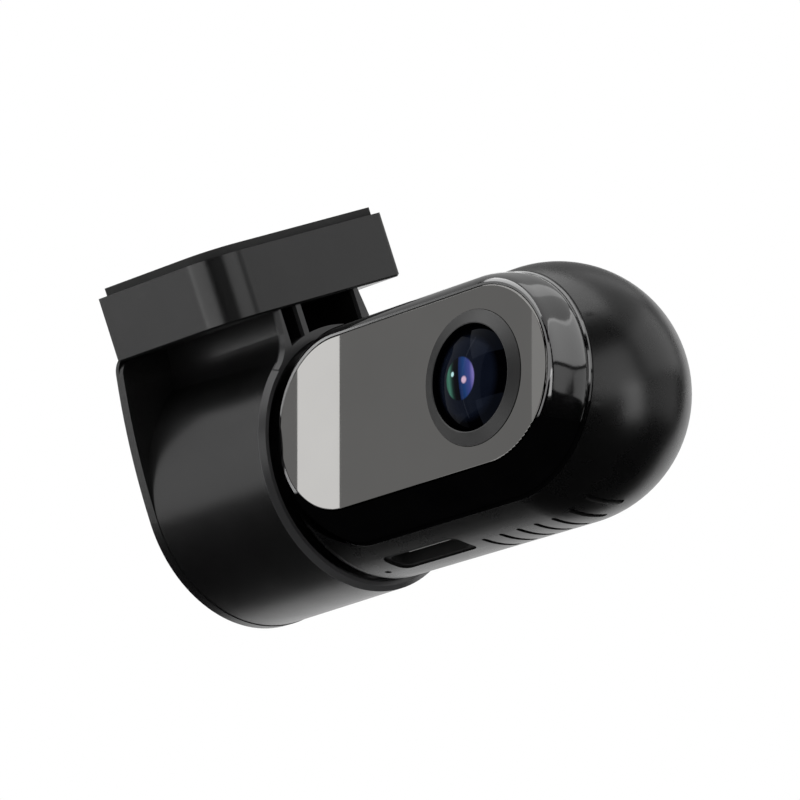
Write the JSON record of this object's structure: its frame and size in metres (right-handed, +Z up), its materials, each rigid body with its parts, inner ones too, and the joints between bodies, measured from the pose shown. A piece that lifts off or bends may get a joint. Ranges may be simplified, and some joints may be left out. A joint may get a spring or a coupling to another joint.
{
  "type": "dash camera",
  "caption": "Capsule-shaped dash camera on a tilting barrel holder with an adhesive windscreen plate, mirror front and ringed lens.",
  "frame": {"origin": "centre of the adhesive pad's upper face, which sticks to the windscreen", "axes": "+X from the holder to the domed end of the camera, +Y to the back (cabin side), +Z up through the adhesive face"},
  "size_m": [0.0851, 0.0406, 0.0548],
  "materials": {
    "matte_black": "fine matte",
    "holder_black": "fine matte",
    "piano_black": "polished",
    "mirror_glass": "polished, half mirrored",
    "ring_grey": "satin",
    "lens_glass": "coated",
    "barrel_black": "flocked",
    "filter_glass": "coated",
    "board_green": "solder mask",
    "chip_black": "moulded",
    "sensor_ceramic": "ceramic",
    "steel": "plain",
    "screw_steel": "black zinc",
    "aluminium": "brushed",
    "soft_grey": "soft",
    "can_sleeve": "shrink sleeve",
    "foam_black": "acrylic foam",
    "tape_black": "adhesive film",
    "card_black": "moulded",
    "flex_amber": "polyimide film",
    "light_clear": "clear",
    "connector_ivory": "moulded",
    "cone_black": "paper fibre",
    "button_black": "satin",
    "brass_contact": "plated"
  },
  "bodies": {
    "mount": {"holder": "holder_black", "side_cover": "holder_black", "mount_plate": "holder_black", "plate_cover": "holder_black", "adhesive_pad": "foam_black", "neck_screws": "screw_steel"},
    "camera": {"main_shell": "matte_black", "front_panel": "piano_black", "front_glass": "mirror_glass", "glass_tape": "tape_black", "lens_ring": "ring_grey", "front_element": "lens_glass", "second_element": "lens_glass", "aperture_disc": "barrel_black", "rear_element": "lens_glass", "retaining_ring": "barrel_black", "lens_barrel": "barrel_black", "lens_holder": "barrel_black", "infrared_filter": "filter_glass", "image_sensor": "sensor_ceramic", "sensor_board": "board_green", "sensor_screws": "screw_steel", "main_board": "board_green", "board_screws": "screw_steel", "processor": "chip_black", "thermal_pad": "soft_grey", "heat_spreader": "aluminium", "memory_chips": "chip_black", "shield_can": "steel", "capacitors": "can_sleeve", "speaker": "steel", "speaker_cone": "cone_black", "microphone": "steel", "wifi_antenna": "flex_amber", "flex_cable": "flex_amber", "flex_connectors": "connector_ivory", "card_board": "board_green", "card_socket": "steel", "card_surround": "matte_black", "tact_switch": "steel", "status_light": "light_clear", "light_pipe": "light_clear", "power_socket": "steel", "socket_tongue": "barrel_black", "pivot_hub": "barrel_black", "hub_screws": "screw_steel", "friction_washer": "soft_grey", "spring_washer": "steel", "retaining_nut": "brass_contact"},
    "card": {"memory_card": "card_black"},
    "button": {"button_cap": "button_black", "switch_plunger": "connector_ivory"}
  },
  "joints": [
    {"name": "camera_tilt", "type": "hinge", "parent": "mount", "child": "camera", "pos_m": [0.0123, 0, -0.0346], "axis": [-1, 0, 0], "range_deg": [-64, 41]},
    {"name": "card_slide", "type": "slide", "parent": "camera", "child": "card", "axis": [0, -0.5075, -0.8616], "range_m": [0, 0.012]},
    {"name": "button_press", "type": "slide", "parent": "camera", "child": "button", "axis": [0, -0.9455, 0.3256], "range_m": [0, 0.0003], "stiffness_N_per_m": 2500, "springref_m": -0.0004}
  ]
}
